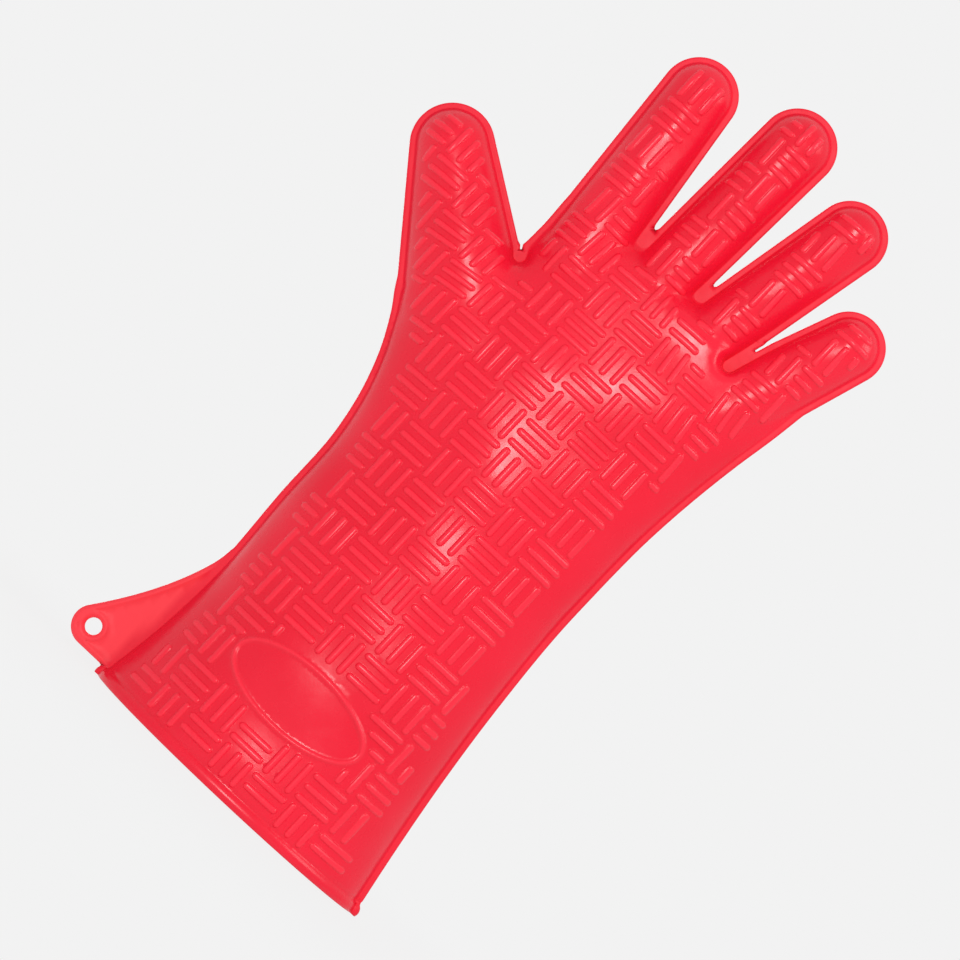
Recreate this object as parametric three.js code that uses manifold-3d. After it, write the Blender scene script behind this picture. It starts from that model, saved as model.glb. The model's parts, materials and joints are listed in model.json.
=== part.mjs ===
// Heat resistant glove: a long moulded silicone gauntlet for the left hand, standing on its cuff rim.
// Millimetres. +Z runs from the cuff to the fingertips, the grip side of the palm faces -Y and the
// thumb points to -X. Every moulded region between two flex creases is a solid of its own.

import * as THREE from 'three';
import { mergeVertices } from 'three/addons/utils/BufferGeometryUtils.js';
import Module from 'manifold-3d';

const wasm = await Module();
wasm.setup();

// Driving dimensions

const GAP = 0.3; // clearance between neighbouring solids
const WALL = 1.6; // silicone skin
const FLATNESS = 0.72; // depth of a finger over its width
const SLEEVE_SQUARENESS = 2.3; // exponent of the sleeve's rounded section, 2 being an ellipse

// The sleeve and the palm: height, thumb side edge, little finger side edge and half depth
const SECTIONS = [
  [-6, -44.2, 95.0, 39.2],
  [0, -43.5, 94.0, 39.0],
  [30, -38.8, 88.8, 37.0],
  [60, -36.8, 84.4, 34.5],
  [100, -38.4, 80.2, 31.0],
  [134, -39.6, 78.2, 28.0],
  [153, -43.5, 78.2, 27.0],
  [166, -48.0, 78.4, 26.2],
  [181, -55.2, 79.0, 25.0],
  [193, -61.0, 80.0, 23.4],
  [210, -48.0, 82.0, 21.4],
  [228, -37.0, 84.8, 18.4],
  [245, -35.0, 88.0, 14.6],
  [258, -35.4, 90.0, 11.8],
];
const SLEEVE_TOP = 258;
const SLEEVE_SIDES = 28;
const SLEEVE_ROW = 12;
const PALM_ROW = 9;

const RIM_HEIGHT = 4;
const RIM_PROUD = 1.2;
const WRIST = { low: 113, axis: 125, high: 137 };

const BADGE = { x: 24.6, z: 46.4, halfWidth: 32.5, halfHeight: 14.6, line: 2.8, proud: 0.9 };

const TAB = {
  thickness: 3,
  hole: { x: -56, z: 12.4, radius: 3.4 },
  corner: { x: -56.4, z: 12.1, radius: 8.4 },
  top: { x: -38.4, z: 64 },
  bend: { x: -43.5, z: 42 },
  inside: -28,
};

// Digits: centre line point at the root, centre of the round tip, half widths at both, the start of the
// first flex zone past the root, the lengths of the flex zones and how far each one bends in degrees
const DIGITS = [
  {
    name: 'index', root: [-19.5, 274.2], tip: [-24.8, 324.9], rootRadius: 16.9, tipRadius: 15.6,
    zoneStart: -0.5, zones: [18, 19.5, 12.5], bends: [60, 65, 40],
  },
  {
    name: 'middle', root: [14.6, 274.2], tip: [17.4, 335.8], rootRadius: 15.2, tipRadius: 15.6,
    zoneStart: 1.5, zones: [19, 22, 15], bends: [60, 65, 40],
  },
  {
    name: 'ring', root: [45.8, 272.2], tip: [56.7, 323.3], rootRadius: 14.5, tipRadius: 14.8,
    zoneStart: -1, zones: [18, 19.5, 13], bends: [60, 65, 40],
  },
  {
    name: 'little', root: [75.5, 264.0], tip: [85.3, 290.9], rootRadius: 15.4, tipRadius: 14.4,
    zoneStart: -3.5, zones: [14.5, 15.5, 10], bends: [55, 60, 38],
  },
  {
    name: 'thumb', root: [-48.6, 213.1], tip: [-82.9, 245.3], rootRadius: 24.0, tipRadius: 16.8,
    zoneStart: 1.5, zones: [18, 18], bends: [45, 45],
  },
];
const SEGMENTS = { 3: ['proximal', 'middle', 'distal'], 2: ['proximal', 'distal'] };
const CREASES = { 3: ['base', 'middle', 'tip'], 2: ['base', 'tip'] };
const BURIED = 28; // how far a digit's tube runs down inside the palm
const DIGIT_SIDES = 20;
const TIP_STEPS = 5;
const BEND_SPARE = 1; // degrees that each side of a flex notch is wider than half its bend

// The flat web that closes the foot of the notch between two fingers
const WEB = { thickness: 2.4, halfWidth: 2.6, bottom: 250 };
const WEBS = [
  [-1.4, 273.8],
  [29.8, 271.8],
  [59.1, 264.0],
];

const FAR = 400; // larger than the glove, for half spaces
const PAST = 1; // how far a cutting solid runs past what it cuts
const NOTCH_REACH = 40; // how far a flex notch runs out of the skin

const SILICONE = { color: 0xf52c44, roughness: 0.42, metalness: 0 };
const DARK_SILICONE = { color: 0xd9263b, roughness: 0.5, metalness: 0 };

// Solids from geometries and back

function toSolid(geometry) {
  const bare = geometry.clone();
  bare.deleteAttribute('normal');
  bare.deleteAttribute('uv');
  const merged = mergeVertices(bare, 1e-4);
  const index = merged.index.array;
  const triangles = [];
  for (let i = 0; i < index.length; i += 3) {
    const [a, b, c] = [index[i], index[i + 1], index[i + 2]];
    if (a !== b && b !== c && c !== a) triangles.push(a, b, c);
  }
  return new wasm.Manifold(new wasm.Mesh({
    numProp: 3,
    vertProperties: new Float32Array(merged.attributes.position.array),
    triVerts: new Uint32Array(triangles),
  }));
}

function toMesh(solid, name, look) {
  const { vertProperties, triVerts } = solid.getMesh();
  const geometry = new THREE.BufferGeometry();
  geometry.setAttribute('position', new THREE.BufferAttribute(new Float32Array(vertProperties), 3));
  geometry.setIndex(new THREE.BufferAttribute(new Uint32Array(triVerts), 1));
  geometry.computeVertexNormals();
  const mesh = new THREE.Mesh(geometry, new THREE.MeshStandardMaterial(look));
  mesh.name = name;
  return mesh;
}

function union(solids) {
  return solids.reduce((whole, solid) => whole.add(solid));
}

// The sleeve and palm as a tube of rounded sections, grown outwards by offset

const sectionAt = new THREE.CubicInterpolant(
  SECTIONS.map(([z]) => z),
  SECTIONS.flatMap(([, left, right, depth]) => [left, right, depth]),
  3,
);

function squared(value) {
  return Math.sign(value) * Math.abs(value) ** (2 / SLEEVE_SQUARENESS);
}

function sleeve(low, high, offset, rowHeight = SLEEVE_ROW) {
  const rows = Math.max(1, Math.round((high - low) / rowHeight));
  const geometry = new THREE.CylinderGeometry(1, 1, 1, SLEEVE_SIDES, rows);
  geometry.rotateX(Math.PI / 2);
  const position = geometry.attributes.position;
  for (let i = 0; i < position.count; i += 1) {
    const z = low + (position.getZ(i) + 0.5) * (high - low);
    const [left, right, depth] = sectionAt.evaluate(z);
    const halfWidth = (right - left) / 2 + offset;
    const x = (left + right) / 2 + halfWidth * squared(position.getX(i));
    const y = (depth + offset) * squared(position.getY(i));
    position.setXYZ(i, x, y, z);
  }
  return toSolid(geometry);
}

// A digit as a flattened tapered tube with a round tip, shrunk on every side by inset

function along(digit, distance) {
  const root = new THREE.Vector3(digit.root[0], 0, digit.root[1]);
  const tip = new THREE.Vector3(digit.tip[0], 0, digit.tip[1]);
  const direction = tip.clone().sub(root).normalize();
  return root.addScaledVector(direction, distance);
}

function tilt(digit) {
  return Math.atan2(digit.tip[0] - digit.root[0], digit.tip[1] - digit.root[1]);
}

function lengthOf(digit) {
  return Math.hypot(digit.tip[0] - digit.root[0], digit.tip[1] - digit.root[1]);
}

function digitTube(digit, inset) {
  const length = lengthOf(digit);
  const taper = (digit.rootRadius - digit.tipRadius) / length;
  const tipRadius = digit.tipRadius - inset;
  const buriedRadius = digit.rootRadius + taper * BURIED - inset;
  const profile = [new THREE.Vector2(0, -BURIED), new THREE.Vector2(buriedRadius, -BURIED)];
  for (let step = 0; step <= TIP_STEPS; step += 1) {
    const angle = (step / TIP_STEPS) * (Math.PI / 2);
    const radius = step === TIP_STEPS ? 0 : tipRadius * Math.cos(angle);
    profile.push(new THREE.Vector2(radius, length + tipRadius * Math.sin(angle)));
  }
  const geometry = new THREE.LatheGeometry(profile, DIGIT_SIDES);
  const flatness = (digit.tipRadius * FLATNESS - inset) / tipRadius;
  geometry.rotateX(Math.PI / 2);
  geometry.scale(1, flatness, 1);
  geometry.rotateY(tilt(digit));
  geometry.translate(digit.root[0], 0, digit.root[1]);
  return toSolid(geometry);
}

// Flex hinges: a point on the mid plane, the tilt of the cut and the bend that the notch has to allow.
// The base hinges of the four fingers share the direction of the X axis, so that the fingers close
// side by side. Every other hinge crosses its own digit squarely.

function hingesOf(digit) {
  let start = digit.zoneStart;
  return digit.zones.map((zone, i) => {
    const middle = start + zone / 2;
    start += zone;
    const square = i > 0 || digit.name === 'thumb';
    return { point: along(digit, middle), tilt: square ? tilt(digit) : 0, bend: digit.bends[i] };
  });
}

function placed(geometry, hinge) {
  geometry.rotateY(hinge.tilt);
  geometry.translate(hinge.point.x, hinge.point.y, hinge.point.z);
  return toSolid(geometry);
}

function halfSpace(hinge, side) {
  const box = new THREE.BoxGeometry(FAR, FAR, FAR);
  box.translate(0, 0, side * (FAR / 2 + GAP / 2));
  return placed(box, hinge);
}

// The notch on the palm side, a wedge whose edge is the hinge axis, shrunk on both faces by inset
function notch(hinge, halfWidth, inset = 0) {
  const halfAngle = THREE.MathUtils.degToRad(hinge.bend / 2 + BEND_SPARE);
  const edge = inset / Math.sin(halfAngle);
  const rise = (NOTCH_REACH - edge) * Math.tan(halfAngle);
  const outline = new THREE.Shape();
  outline.moveTo(-edge, 0);
  outline.lineTo(-NOTCH_REACH, rise);
  outline.lineTo(-NOTCH_REACH, -rise);
  outline.closePath();
  const wedge = new THREE.ExtrudeGeometry(outline, { depth: 2 * halfWidth, bevelEnabled: false });
  wedge.translate(0, 0, -halfWidth);
  // shape x runs along Y, shape y along Z, and the extrusion along X
  wedge.applyMatrix4(new THREE.Matrix4().makeBasis(
    new THREE.Vector3(0, 1, 0),
    new THREE.Vector3(0, 0, 1),
    new THREE.Vector3(1, 0, 0),
  ));
  return placed(wedge, hinge);
}

// Sub-parts

function cuffRim() {
  const ring = sleeve(0, RIM_HEIGHT, RIM_PROUD);
  return ring.subtract(sleeve(-PAST, RIM_HEIGHT + PAST, -WALL));
}

function cuffSleeve() {
  const low = RIM_HEIGHT + GAP;
  const high = WRIST.low - GAP / 2;
  return sleeve(low, high, 0).subtract(sleeve(low - PAST, high + PAST, -WALL));
}

function wristBand() {
  const low = WRIST.low + GAP / 2;
  const high = WRIST.high - GAP / 2;
  return sleeve(low, high, 0).subtract(sleeve(low - PAST, high + PAST, -WALL));
}

function hangingTab() {
  const { corner, top, bend, inside, hole } = TAB;
  const reach = corner.radius * Math.SQRT1_2;
  const outline = new THREE.Shape();
  outline.moveTo(inside, top.z);
  outline.lineTo(top.x, top.z);
  outline.quadraticCurveTo(bend.x, bend.z, corner.x - reach, corner.z + reach);
  outline.absarc(corner.x, corner.z, corner.radius, Math.PI * 0.75, Math.PI * 1.5, false);
  outline.lineTo(inside, corner.z - corner.radius);
  const eye = new THREE.Path();
  eye.absarc(hole.x, hole.z, hole.radius, 0, Math.PI * 2, false);
  outline.holes.push(eye);
  const plate = new THREE.ExtrudeGeometry(outline, {
    depth: TAB.thickness, bevelEnabled: false, curveSegments: 10,
  });
  plate.rotateX(Math.PI / 2);
  plate.translate(0, TAB.thickness / 2, 0);
  const body = sleeve(-PAST, top.z + PAST, GAP);
  const rim = sleeve(-PAST, RIM_HEIGHT + GAP, RIM_PROUD + GAP);
  return toSolid(plate).subtract(body).subtract(rim);
}

function badgeRing() {
  const outline = new THREE.Shape();
  outline.absellipse(BADGE.x, BADGE.z, BADGE.halfWidth, BADGE.halfHeight, 0, Math.PI * 2, false, 0);
  const window = new THREE.Path();
  const inner = { w: BADGE.halfWidth - BADGE.line, h: BADGE.halfHeight - BADGE.line };
  window.absellipse(BADGE.x, BADGE.z, inner.w, inner.h, 0, Math.PI * 2, false, 0);
  outline.holes.push(window);
  const prism = new THREE.ExtrudeGeometry(outline, { depth: FAR, bevelEnabled: false, curveSegments: 20 });
  prism.rotateX(Math.PI / 2);
  const low = BADGE.z - BADGE.halfHeight - PAST;
  const high = BADGE.z + BADGE.halfHeight + PAST;
  const skin = sleeve(low, high, GAP + BADGE.proud).subtract(sleeve(low - PAST, high + PAST, GAP));
  return toSolid(prism).intersect(skin);
}

function webs() {
  return WEBS.map(([x, top]) => {
    const height = top - WEB.bottom;
    const plate = new THREE.BoxGeometry(2 * WEB.halfWidth, WEB.thickness, height);
    plate.translate(x, 0, WEB.bottom + height / 2);
    return toSolid(plate);
  });
}

function palmShell() {
  const low = WRIST.high + GAP / 2;
  const stubs = DIGITS.map((digit) => digitTube(digit, 0).intersect(halfSpace(hingesOf(digit)[0], -1)));
  const outer = union([sleeve(low, SLEEVE_TOP, 0, PALM_ROW), ...stubs, ...webs()]);
  const hollows = DIGITS.map((digit) => digitTube(digit, WALL));
  const cavity = union([sleeve(low - PAST, SLEEVE_TOP - WALL, -WALL, PALM_ROW), ...hollows]);
  const notches = DIGITS.map((digit) => notch(hingesOf(digit)[0], digit.rootRadius + PAST));
  return outer.subtract(cavity).subtract(union(notches));
}

// A digit's segments and the creases below them, from the palm outwards
function digitPieces(digit) {
  const tube = digitTube(digit, 0).subtract(digitTube(digit, WALL));
  const hinges = hingesOf(digit);
  const width = 2 * digit.rootRadius;
  const pieces = [];
  hinges.forEach((hinge, i) => {
    const crease = tube.intersect(notch(hinge, width, GAP));
    let segment = tube.intersect(halfSpace(hinge, 1)).subtract(notch(hinge, width));
    const next = hinges[i + 1];
    if (next) segment = segment.intersect(halfSpace(next, -1)).subtract(notch(next, width));
    pieces.push(toMesh(crease, `${digit.name}_${CREASES[hinges.length][i]}_crease`, DARK_SILICONE));
    pieces.push(toMesh(segment, `${digit.name}_${SEGMENTS[hinges.length][i]}`, SILICONE));
  });
  return pieces;
}

const group = new THREE.Group();
group.add(toMesh(cuffRim(), 'cuff_rim', SILICONE));
group.add(toMesh(cuffSleeve(), 'cuff_sleeve', SILICONE));
group.add(toMesh(hangingTab(), 'hanging_tab', SILICONE));
group.add(toMesh(badgeRing(), 'badge_ring', SILICONE));
group.add(toMesh(wristBand(), 'wrist_band', DARK_SILICONE));
group.add(toMesh(palmShell(), 'palm_shell', SILICONE));
for (const digit of DIGITS) group.add(...digitPieces(digit));

export default group;
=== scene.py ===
import json
import math

import bpy
import numpy as np
from mathutils import Matrix, Vector
from mathutils.geometry import delaunay_2d_cdt
from numpy.linalg import norm


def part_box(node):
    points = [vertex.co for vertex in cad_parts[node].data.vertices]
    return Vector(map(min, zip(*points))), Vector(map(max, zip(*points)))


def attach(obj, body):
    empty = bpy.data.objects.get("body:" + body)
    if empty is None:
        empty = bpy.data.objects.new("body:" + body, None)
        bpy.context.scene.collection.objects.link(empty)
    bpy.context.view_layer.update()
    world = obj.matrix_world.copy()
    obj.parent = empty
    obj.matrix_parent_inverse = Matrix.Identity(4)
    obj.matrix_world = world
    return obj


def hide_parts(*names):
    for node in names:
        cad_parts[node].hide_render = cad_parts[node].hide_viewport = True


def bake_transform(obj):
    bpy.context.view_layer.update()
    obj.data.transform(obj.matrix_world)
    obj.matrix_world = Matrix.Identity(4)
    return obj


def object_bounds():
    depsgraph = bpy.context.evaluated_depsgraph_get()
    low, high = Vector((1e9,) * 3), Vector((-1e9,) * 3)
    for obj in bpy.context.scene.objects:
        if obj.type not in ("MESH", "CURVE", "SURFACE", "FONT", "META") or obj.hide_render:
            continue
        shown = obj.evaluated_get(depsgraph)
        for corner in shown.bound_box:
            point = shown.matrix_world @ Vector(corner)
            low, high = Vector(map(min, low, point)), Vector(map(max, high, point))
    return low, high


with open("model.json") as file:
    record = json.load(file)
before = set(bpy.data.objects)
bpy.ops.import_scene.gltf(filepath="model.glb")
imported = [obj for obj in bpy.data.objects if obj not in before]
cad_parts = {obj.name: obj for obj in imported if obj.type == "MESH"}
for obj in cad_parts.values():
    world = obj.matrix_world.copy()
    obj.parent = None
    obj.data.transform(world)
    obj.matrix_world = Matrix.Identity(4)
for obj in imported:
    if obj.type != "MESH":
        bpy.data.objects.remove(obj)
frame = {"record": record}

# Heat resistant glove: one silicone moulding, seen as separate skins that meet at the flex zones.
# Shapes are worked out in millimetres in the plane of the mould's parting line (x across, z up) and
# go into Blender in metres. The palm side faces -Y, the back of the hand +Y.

bpy.context.view_layer.update()
CAD_BOX = [list(corner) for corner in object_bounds()]
MM = 0.001


# ---------------- what the frame gives

def node_box(node):
    low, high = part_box(node)
    return np.array(low) / MM, np.array(high) / MM


JOINTS = {joint["name"]: joint for joint in frame["record"]["behaviour"]["joints"]}
RIM_LOW, RIM_HIGH = node_box("cuff_rim")
RIM_X = (RIM_LOW[0] + RIM_HIGH[0]) / 2
RIM_HEIGHT = RIM_HIGH[2] - RIM_LOW[2]
WRIST_Z = sum(node_box("wrist_band"))[2] / 2
BADGE_LOW, BADGE_HIGH = node_box("badge_ring")
TAB_LOW, TAB_HIGH = node_box("hanging_tab")

# ---------------- driving dimensions

FIN = 2.4  # width of the parting fin round the outline
FIN_HALF = 1.1  # half its thickness
FIN_FOOT = 1.2  # strip of the body's edge over which its finish turns into the fin's
WALL = 1.8  # silicone skin
FLATNESS = 0.72  # half depth of a digit over its half width, fin included
BODY_FLANK = 0.6  # exponent of the sleeve's and palm's cross section, 0.5 for an ellipse
DIGIT_FLANK = 0.68  # and of the digits' cross sections
FILLET = 1.4  # height over which the flanks run out into the fin
WRIST_ZONE = 60  # length of sleeve that bends at the wrist
WRIST_ENDS = (WRIST_Z - WRIST_ZONE / 2, WRIST_Z + WRIST_ZONE / 2)

# Height over the rim, shift of the centre from the rim's centre, half width and half depth
SLEEVE = np.array([
    [-8, 0.1, 70.0, 39.4],
    [0, 0.0, 68.7, 39.0],
    [30, -0.25, 63.8, 37.0],
    [60, -1.45, 60.6, 34.5],
    [100, -4.35, 59.3, 31.0],
    [134, -5.95, 58.9, 28.0],
    [153, -7.9, 60.85, 27.0],
    [166, -10.05, 63.2, 26.2],
    [181, -13.35, 67.1, 25.0],
    [193, -15.75, 70.5, 23.4],
    [210, -8.25, 65.0, 21.4],
    [228, -1.35, 60.9, 18.4],
    [245, 1.25, 61.5, 14.6],
    [258, 2.05, 62.7, 12.2],
    [272, 2.9, 64.0, 11.2],
])
PALM_TOP = 268
PALM_FADE = 16  # the palm sinks into the fingers over this height
THUMB_CROTCH = 3.0  # softness of the outline's turn from palm to thumb
THUMB_JOIN = 5.0  # how softly the thumb's skin runs into the palm's, and the fingers'
FINGER_JOIN = 1.2

# Radius of the tip's outline, growth of the radius per mm towards the palm, flex zone lengths, and
# how far the first zone is cut back to clear the notch beside it
DIGITS = {
    "index": (15.6, 0.0255, (18, 19.5, 12.5)),
    "middle": (15.6, -0.0065, (19, 22, 15)),
    "ring": (14.8, -0.0057, (18, 19.5, 13)),
    "little": (14.4, 0.035, (14.5, 15.5, 10)),
    "thumb": (16.8, 0.153, (18, 18), 1.5),
}
SEGMENTS = {3: ("proximal", "middle", "distal"), 2: ("proximal", "distal")}
CREASES = {3: ("base", "middle", "tip"), 2: ("base", "tip")}
BURIED = 40  # how far a digit's shape runs on below its first flex hinge

# Slots between the digits, where only a flat web is left: foot, head, their radii and the web's reach
SLOTS = [
    ((-33.3, 230.9), (-38.6, 238.6), 2.6, 3.2, 0.9),
    ((-1.4, 267.9), (-1.6, 280.0), 2.6, 3.2, 5.9),
    ((29.5, 267.2), (31.4, 282.0), 2.7, 3.0, 5.4),
    ((56.1, 254.2), (62.0, 273.3), 2.6, 2.9, 10.3),
]
SLOT_SHOULDER = 5.0  # how far beside a slot the palm takes to reach its full height
WEB_SHOULDER = 1.3  # and the digits
WEB_OVERLAP = 1.0  # how far a web's outline runs into the skin beside it
WEB_TURN = 2.5  # softness of the outline's turn from fin to web

# Basketweave: blocks of three bars, lying and standing in turn
BLOCK = (16.6, 15.3)
BLOCK_X = 22.9  # centre of one column of blocks
BLOCK_Z = 178.7  # centre of one row of blocks, whose middle block has lying bars
BARS = 3
BLOCK_GAP = 0.3
BAR_HALF = 1.4
BAR_HEIGHT = 0.95
BAR_LEAN = np.array([0.4, 1, 0.4])  # a bar stands up from the parting plane more than from the skin
BAR_CROWN = 2.2  # exponents of a bar's rounded cross section
BAR_FLANK = 0.6
WEAVE_STRAIGHT = 185  # over this height the blocks are shorter, by this share
WEAVE_SHRINK = 0.04
WEAVE_BLEND = 10.0  # how far beside a digit its own shift fades out
# Station at which a digit's shift of the blocks begins, the length it settles over, and the shift
WEAVE_SHIFTS = {
    "index": (-50, 40, -2.7, 1.3),
    "middle": (-50, 40, 0.0, 0.0),
    "ring": (-60, 40, 3.8, -0.5),
    "little": (-60, 40, 3.8, 0.0),
    "thumb": (-38, 46, -2.3, 5.8),
}
PLAIN_SLEEVE = 9.0  # plain band along the edges of sleeve and palm
PLAIN_DIGIT = 3.8  # and of the digits
PLAIN_BLEND = 4.0  # difference in height over which one gives way to the other
SHORTEST_BAR = 2.2
BAR_OVER_RIM = 3.2
BAR_SAMPLES = 41  # places along a bar where its clearance is tried

# Soft waves in the skin: height, length, direction and shift of each
UNEVEN_WAVES = [
    (0.45, 61, 0.35, 0.6),
    (0.35, 43, 2.1, 2.2),
    (0.3, 34, 1.2, 4.0),
]
UNEVEN_FROM = 12  # they fade out where the skin is lower than this, and near the rim

BADGE_CENTRE = (BADGE_LOW + BADGE_HIGH)[::2] / 2
BADGE_LINE = 1.4  # half width of the raised oval line
BADGE_CLEAR = 0.6  # between the line and the bars
BADGE_HALF = (BADGE_HIGH - BADGE_LOW)[::2] / 2 - BADGE_LINE
BADGE_HEIGHT = 0.9

BEAD = 1.2  # how far the rim bead stands out
BEAD_OVER_RIM = 0.7  # and how far it runs on above the rim
GROOVE = 0.35  # depth of the groove over it, its height over the rim and its half width
GROOVE_OVER_RIM = 1.1
GROOVE_HALF = 0.6
TAB_BEAD = 0.7  # height of the bead along the tab's free edge, and the widths of its two slopes
TAB_BEAD_RISE = 0.8
TAB_BEAD_FALL = 0.6
TAB_RADIUS = 8.4  # round corner of the hanging tab
TAB_BEND = np.array([-5.5, -25.0])  # from the tab's top to the bend of its free edge
TAB_OVERLAP = 10.0  # how far the tab's outline runs into the sleeve
HOLE_RADIUS = 3.4
HOLE_SHIFT = np.array([0.4, 0.3])  # hole's centre from that of the round corner
TAB_TURN = 2.0  # softness of the outline's turn from sleeve to tab
TAB_ROOT = (1.0, 0.9)  # the tab is cut off this far outside the rim's bead, and the sleeve at its top
TAB_SPARE = 8.0  # reach of that cut past the tab's top

# Spacing of the points that carry the surface
EDGE_STEP = 0.9
BODY_RINGS = (0.12, 0.32, 0.65, 1.15, 1.85, 2.8, 3.9)
FIN_RINGS = (0.18, 0.5)
FIN_LINES = (0.35, 1.2)  # outside the body's edge
TAB_RINGS = (0.9, 1.3, 2.3, 2.8)
TAB_GRID = 3.0
BAR_STEP = 3.0
BAR_RINGS = (0.5, 0.95, 1.25, BAR_HALF, BAR_HALF + 0.25)
OVAL_STEPS = 260
OVAL_RINGS = (-2.3, -1.4, -0.9, -0.45, 0, 0.45, 0.9, 1.4)
RIM_LINES = (0.6, 1.2, 1.9, 2.6, 3.2, 3.8, 4.3, 4.8, 5.3, 6.0, 7.0)
RIM_STEP = 2.5
PLAIN_STEP = 2.2
PLAIN_SPACING = 1.3
FINE_SPACING = 0.11
INNER_EDGE_STEP = 1.8
INNER_RINGS = (0.25, 0.8, 1.8, 3.2)
INNER_STEP = 4.0
TRACE_MARGIN = 4.3  # how far outlines are looked for outside the frame's box
SNAP = 0.003  # a point this near to a cut lies on it
FAR = 1e3

DIGIT_REACH = 1.5  # how far past its outline a digit still claims the skin
FLOOR = 8.0  # half the floor's width, and its gap under the glove, in metres
FLOOR_GAP = 0.0002
SHADOW = 0.06  # how much of the floor's shading shows under the glove
SHADOW_REACH = (0.05, 0.35)  # it fades between these distances from the glove, in metres

PLANE_LOW, PLANE_HIGH = np.array(CAD_BOX)[:, ::2] / MM


# ---------------- digits, as the frame places them

class Digit:
    def __init__(self, name, radius, growth, zones, notch=0):
        self.name, self.radius, self.growth = name, radius, growth
        self.segments, self.creases = SEGMENTS[len(zones)], CREASES[len(zones)]
        low, high = node_box(f"{name}_distal")
        hinges = [JOINTS[f"{name}_{crease}_bend"]["pos_m"] for crease in self.creases]
        self.hinges = [np.array(hinge[::2]) / MM for hinge in hinges]
        lean = self.hinges[1][0] - self.hinges[0][0]
        tip_x = high[0] - radius if lean > 0 else low[0] + radius
        self.tip = np.array([tip_x, high[2] - radius])
        self.up = (self.tip - self.hinges[0]) / norm(self.tip - self.hinges[0])
        self.side = np.array([self.up[1], -self.up[0]])
        self.length = float((self.tip - self.hinges[0]) @ self.up) + BURIED
        self.root = self.tip - self.up * self.length
        self.bends = [[self.station(hinge) - zone / 2, self.station(hinge) + zone / 2]
                      for hinge, zone in zip(self.hinges, zones)]
        self.bends[0][0] += notch

    def at(self, station):
        """The place on the digit's axis at a distance from its first hinge."""
        return self.hinges[0] + self.up * station

    def distance(self, p, inset):
        """Signed distance in the parting plane to the digit's outline, shrunk by inset."""
        wide = self.radius + self.growth * self.length - inset
        narrow = self.radius - inset
        rel = p - self.root
        v = np.abs(rel @ self.side)
        s = rel @ self.up
        slope = (wide - narrow) / self.length
        run = math.sqrt(1 - slope * slope)
        k = -slope * v + run * s
        flank = run * v + slope * s - wide
        at_root = np.hypot(v, s) - wide
        at_tip = np.hypot(v, s - self.length) - narrow
        return np.where(k < 0, at_root, np.where(k > run * self.length, at_tip, flank))

    def station(self, p):
        """Distance along the digit from its first hinge."""
        return (p - self.hinges[0]) @ self.up

    def height(self, p, inset):
        s = np.clip((p - self.root) @ self.up, 0, self.length)
        outline = self.radius + self.growth * (self.length - s)
        half = outline - inset
        depth = outline * FLATNESS - (inset - FIN)
        ratio = np.clip(1 + self.distance(p, inset) / half, 0, 1)
        return depth * (1 - ratio * ratio) ** DIGIT_FLANK


digits = [Digit(name, *sizes) for name, sizes in DIGITS.items()]


def nearest_digit(p):
    """Index of the digit that each place lies in, or -1."""
    reach = np.stack([digit.distance(p, 0) for digit in digits], axis=1)
    return np.where(reach.min(axis=1) < DIGIT_REACH, reach.argmin(axis=1), -1)


# ---------------- the body's height over the parting plane

def smooth_max(a, b, k):
    spare = np.maximum(k - np.abs(a - b), 0)
    return np.maximum(a, b) + spare * spare / (4 * k)


def joined(a, b, k):
    """Two heights blended where they meet, but not where both run out."""
    k = np.clip(np.minimum(a, b), 0.01, k)
    return smooth_max(a, b, k)


def smooth_step(t):
    t = np.clip(t, 0, 1)
    return t * t * (3 - 2 * t)


def sleeve_section(z):
    """Centre, half width and half depth of the sleeve at height z, through cubic pieces."""
    knots, values = SLEEVE[:, 0], SLEEVE[:, 1:]
    steep = np.gradient(values, knots, axis=0)
    i = np.clip(np.searchsorted(knots, z) - 1, 0, len(knots) - 2)
    span = (knots[i + 1] - knots[i])[:, None]
    t = np.clip((z - knots[i])[:, None] / span, 0, 1)
    a, b = values[i], values[i + 1]
    m, n = steep[i] * span, steep[i + 1] * span
    mixed = ((2 * t - 3) * t * t + 1) * a + ((t - 2) * t + 1) * t * m \
        + (3 - 2 * t) * t * t * b + (t - 1) * t * t * n
    return mixed[:, 0] + RIM_X, mixed[:, 1], mixed[:, 2]


def slot_distance(p, grow, webs=False):
    """Signed distance to the nearest slot, or only to the web in it, positive outside."""
    nearest = np.full(len(p), FAR)
    for foot, head, foot_radius, head_radius, web in SLOTS:
        foot = np.array(foot)
        axis = np.array(head) - foot
        t = (p - foot) @ axis / (axis @ axis)
        held = np.clip(t, 0, 1)
        radius = foot_radius + (head_radius - foot_radius) * held + grow
        reach = norm(p - foot - held[:, None] * axis, axis=1) - radius
        if webs:
            reach = np.maximum(reach, t * norm(axis) - web)
        nearest = np.minimum(nearest, reach)
    return nearest


def palm_distance(p, inset):
    centre, half, _ = sleeve_section(p[:, 1])
    ahead, half_ahead, _ = sleeve_section(p[:, 1] + 0.5)
    side = np.sign(p[:, 0] - centre)
    slope = ((ahead + side * half_ahead) - (centre + side * half)) / 0.5
    across = (np.abs(p[:, 0] - centre) - half) / np.sqrt(1 + slope * slope) + inset
    above = p[:, 1] - (PALM_TOP - (inset - FIN))
    return np.maximum(across, above)


def body_distance(p, inset):
    """Signed distance to the edge of the hollow body, negative inside."""
    palm = palm_distance(p, inset)
    near = -smooth_max(-palm, -digits[-1].distance(p, inset), THUMB_CROTCH)
    for digit in digits[:-1]:
        near = np.minimum(near, digit.distance(p, inset))
    return np.maximum(near, -slot_distance(p, inset - FIN))


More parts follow.
